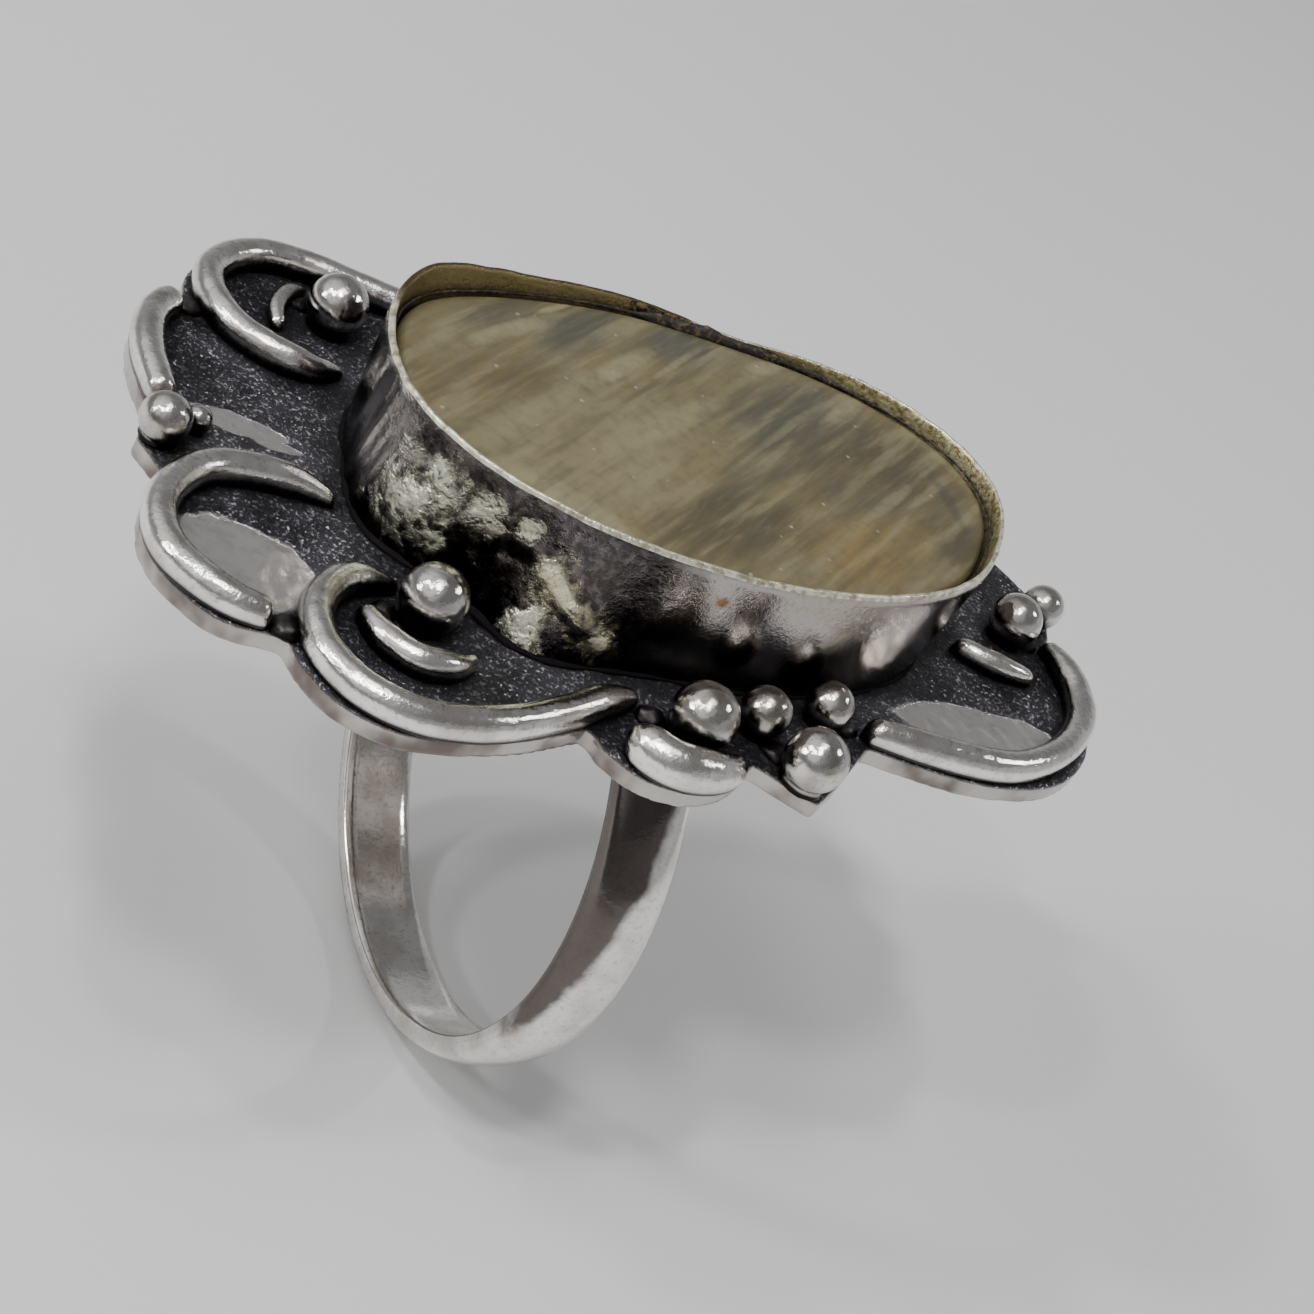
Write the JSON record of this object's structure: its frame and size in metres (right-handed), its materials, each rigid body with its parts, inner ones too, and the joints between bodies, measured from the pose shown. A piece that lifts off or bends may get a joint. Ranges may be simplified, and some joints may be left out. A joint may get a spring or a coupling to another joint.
{
  "type": "cocktail ring",
  "caption": "Cocktail ring with a flat oval banded stone in a tall plain bezel, on a scalloped plate edged with scrolled wire and beads, over a D-section shank.",
  "frame": {"origin": "centre of the finger hole", "axes": "+X runs along the finger and along the long axis of the stone, +Y across the ring, +Z from the finger hole up through the stone"},
  "size_m": [0.0339, 0.023, 0.0251],
  "materials": {
    "shank_metal": "silver plate, plain polish with fine wear",
    "oxidised_plate": "blackened silver plate with a sandy tooth and rubbed bright patches",
    "bezel_metal": "thin bright strip, hand-pressed and lightly creased, polished",
    "packing": "dull setting compound under the stone, out of sight",
    "stone": "translucent olive-grey stone with slanting pale bands, flat polished top",
    "wire_metal": "round wire, polished on top and dark in the crevices",
    "bead_metal": "cast-smooth bead, bright on top and dark round the foot"
  },
  "bodies": {
    "root": {"shank": "shank_metal", "backplate": "oxidised_plate", "bezel_wall": "bezel_metal", "stone_packing": "packing", "stone": "stone", "scroll_far_left": "wire_metal", "scroll_left_far": "wire_metal", "scroll_left_near": "wire_metal", "scroll_near_left": "wire_metal", "scroll_right_near": "wire_metal", "scroll_right_far": "wire_metal", "crescent_far_left": "wire_metal", "crescent_near_left": "wire_metal", "crescent_near_centre": "wire_metal", "crescent_right_near": "wire_metal", "crescent_far_centre": "wire_metal", "crescent_right_far": "wire_metal", "bead_far_left": "bead_metal", "bead_near_left": "bead_metal", "bead_left_tip": "bead_metal", "bead_left_tip_small": "bead_metal", "bead_right_tip": "bead_metal", "bead_right_near": "bead_metal", "bead_near_centre": "bead_metal", "bead_near_inner": "bead_metal", "bead_near_outer": "bead_metal", "bead_near_right": "bead_metal", "bead_far_centre": "bead_metal", "bead_far_inner": "bead_metal", "bead_far_outer": "bead_metal", "bead_far_right": "bead_metal", "bead_right_far": "bead_metal"}
  },
  "joints": []
}
